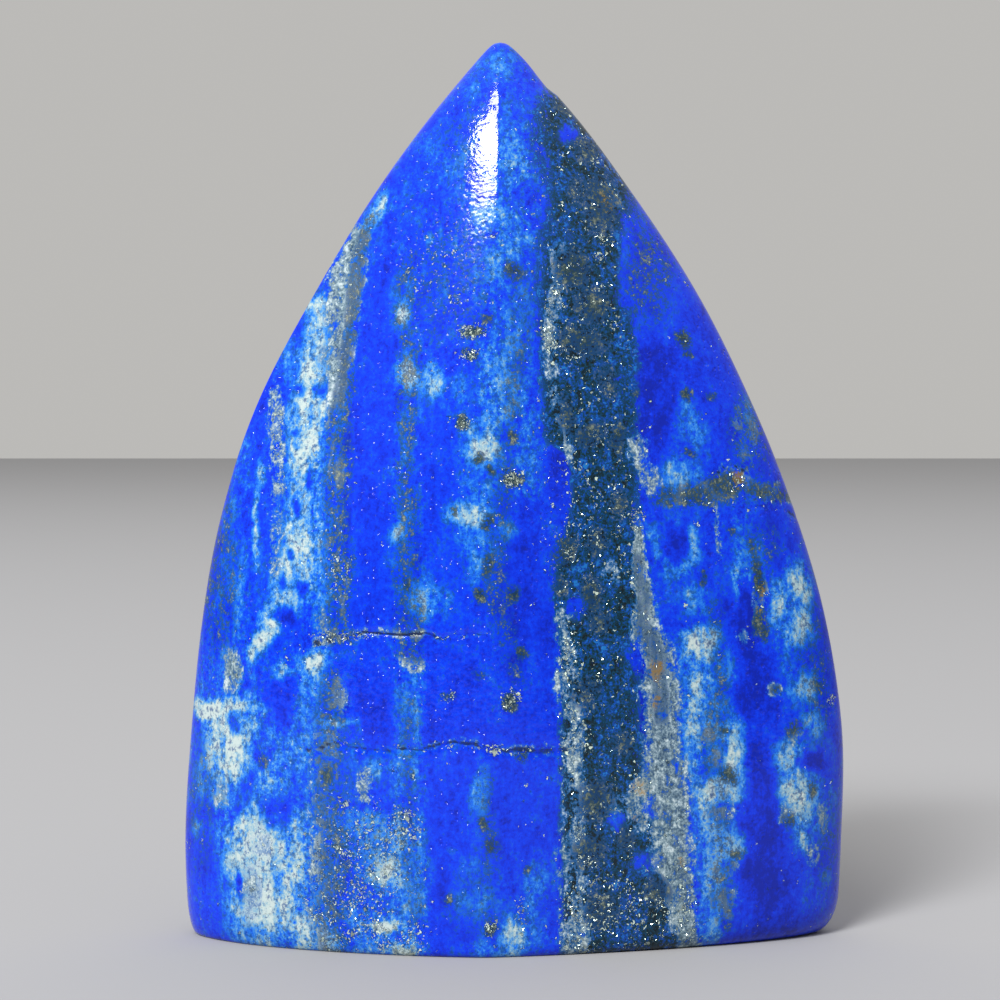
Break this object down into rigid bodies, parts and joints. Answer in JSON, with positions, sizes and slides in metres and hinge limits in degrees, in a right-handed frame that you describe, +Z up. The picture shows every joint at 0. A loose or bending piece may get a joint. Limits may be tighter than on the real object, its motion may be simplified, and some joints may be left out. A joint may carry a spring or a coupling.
{
  "type": "lapis lazuli freeform",
  "caption": "Polished lapis lazuli freeform: a pointed arch of solid stone, lens-shaped in plan, sawn flat underneath to stand upright for display.",
  "frame": {"origin": "centre of the bounding box's bottom, on the flat sawn foot", "axes": "+Z up from the foot to the tip, +X to the right across the broad face, -Y towards the viewer, out of the pictured broad face"},
  "size_m": [0.0594, 0.0224, 0.08],
  "materials": {
    "polished_lapis": "hand-polished stone with a soft gloss, deep ultramarine with pale calcite and pyrite"
  },
  "bodies": {
    "root": {"lapis_lazuli_stone": "polished_lapis"}
  },
  "joints": []
}
